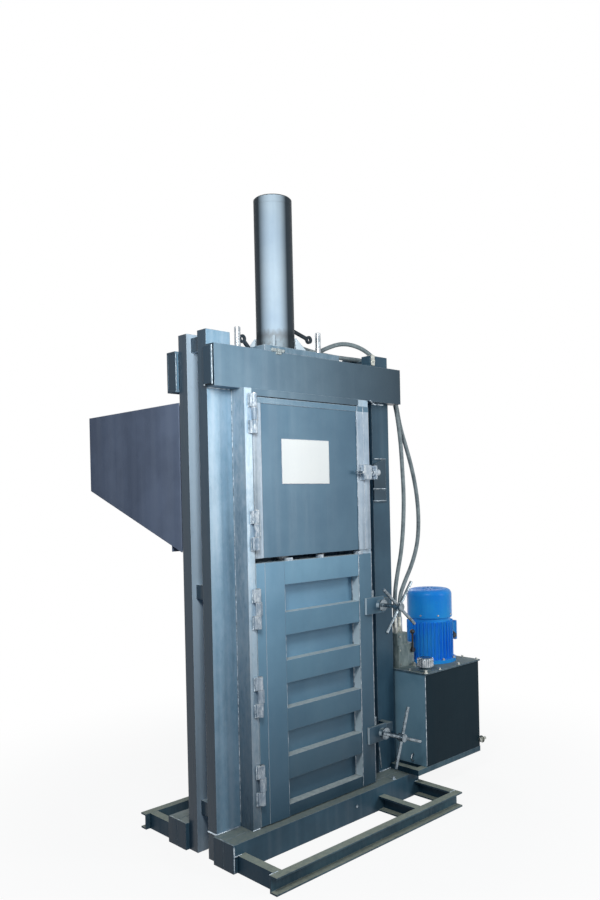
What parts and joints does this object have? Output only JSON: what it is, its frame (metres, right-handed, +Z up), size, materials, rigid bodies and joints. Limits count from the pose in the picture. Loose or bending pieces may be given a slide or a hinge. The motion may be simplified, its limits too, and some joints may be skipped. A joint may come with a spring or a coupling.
{
  "type": "recycling baler",
  "caption": "Upright press that bales waste in a two-door chamber, with a top cylinder, rear hopper and side power unit.",
  "frame": {"origin": "centre of the machine's footprint on the floor", "axes": "+Z up, -Y out of the doors, +X towards the power unit"},
  "size_m": [1.693, 1.385, 2.895],
  "materials": {
    "bare_steel": "bare turned steel",
    "base_paint": "dark green-grey paint, dusty on top",
    "black_plastic": "matt black plastic",
    "door_paint": "semi-gloss blue-grey paint",
    "frame_paint": "semi-gloss blue-grey paint with light rust and scuffs",
    "hinge_steel": "worn paint with bright metal",
    "hopper_paint": "dull grey-blue paint",
    "hose_rubber": "grey rubber hose",
    "motor_paint": "glossy blue paint",
    "plate_paint": "plain pale plate",
    "tank_paint": "dark blue-grey paint with dust",
    "tube_paint": "pale paint with a rusty band at the foot"
  },
  "bodies": {
    "frame": {"base_end_rails": "base_paint", "base_inner_rails": "base_paint", "bottom_beams": "base_paint", "chamber_floor": "base_paint", "chamber_posts": "frame_paint", "chamber_rear_wall": "frame_paint", "chamber_side_walls": "frame_paint", "column_plates": "frame_paint", "column_spacers": "base_paint", "cylinder_cap": "tube_paint", "cylinder_gland": "bare_steel", "cylinder_mount": "frame_paint", "cylinder_ports": "tube_paint", "cylinder_tube": "tube_paint", "dog_keepers": "frame_paint", "drain_plug": "bare_steel", "frame_knuckles": "hinge_steel", "guide_blocks": "base_paint", "header_strips": "frame_paint", "high_hose": "hose_rubber", "hinge_pins": "bare_steel", "hopper_floor": "hopper_paint", "hopper_front": "hopper_paint", "hopper_walls": "hopper_paint", "hose_ferrules": "bare_steel", "latch_keeper": "hinge_steel", "left_columns": "frame_paint", "lifting_eyes": "bare_steel", "low_hose": "hose_rubber", "motor_cowl": "motor_paint", "motor_frame": "motor_paint", "right_columns": "frame_paint", "tank": "tank_paint", "tank_lid": "tank_paint", "tank_shelf": "base_paint", "terminal_box": "motor_paint", "top_beams": "frame_paint", "valve_block": "bare_steel"},
    "ram": {"ram_platen": "frame_paint", "ram_rod": "bare_steel", "guide_rods": "bare_steel"},
    "upper_door": {"upper_door_panel": "door_paint", "upper_door_stiles": "door_paint", "door_plate_blank": "plate_paint", "upper_door_knuckles": "hinge_steel", "latch_block": "hinge_steel"},
    "upper_latch": {"latch_bolt": "bare_steel"},
    "lower_door": {"lower_door_panel": "door_paint", "lower_door_stiles": "door_paint", "lower_door_ribs": "door_paint", "lower_door_knuckles": "hinge_steel", "handle_ears": "door_paint"},
    "lower_clamp": {"lower_spindle": "bare_steel", "lower_star_handle": "hinge_steel"},
    "upper_clamp": {"upper_spindle": "bare_steel", "upper_star_handle": "hinge_steel"},
    "motor_rotor": {"motor_fan": "black_plastic"},
    "breather": {"breather_cap": "bare_steel"},
    "lever": {"valve_lever": "black_plastic"}
  },
  "joints": [
    {"name": "ram_slide", "type": "slide", "parent": "frame", "child": "ram", "axis": [0, 0, 1], "range_m": [0, 0.73]},
    {"name": "upper_door_hinge", "type": "hinge", "parent": "frame", "child": "upper_door", "pos_m": [-0.6595, -0.3977, 1.6], "axis": [0, 0, -1], "range_deg": [0, 115]},
    {"name": "upper_latch_slide", "type": "slide", "parent": "upper_door", "child": "upper_latch", "axis": [1, 0, 0], "range_m": [0, 0.028]},
    {"name": "lower_door_hinge", "type": "hinge", "parent": "frame", "child": "lower_door", "pos_m": [-0.6595, -0.3977, 0.65], "axis": [0, 0, -1], "range_deg": [0, 115]},
    {"name": "lower_clamp_turn", "type": "hinge", "parent": "lower_door", "child": "lower_clamp", "pos_m": [0.1035, -0.4425, 0.354], "axis": [0, 1, 0], "range_deg": [0, 90]},
    {"name": "upper_clamp_turn", "type": "hinge", "parent": "lower_door", "child": "upper_clamp", "pos_m": [0.1035, -0.4425, 0.978], "axis": [0, 1, 0], "range_deg": [0, 90]},
    {"name": "motor_spin", "type": "hinge", "parent": "frame", "child": "motor_rotor", "pos_m": [0.6435, -0.2825, 0.9], "axis": [0, 0, 1], "continuous": true},
    {"name": "breather_turn", "type": "hinge", "parent": "frame", "child": "breather", "pos_m": [0.3995, -0.4395, 0.65], "axis": [0, 0, 1], "range_deg": [0, 90]},
    {"name": "lever_swing", "type": "hinge", "parent": "frame", "child": "lever", "pos_m": [0.4715, -0.3, 0.692], "axis": [0, 1, 0], "range_deg": [-20, 20]}
  ]
}
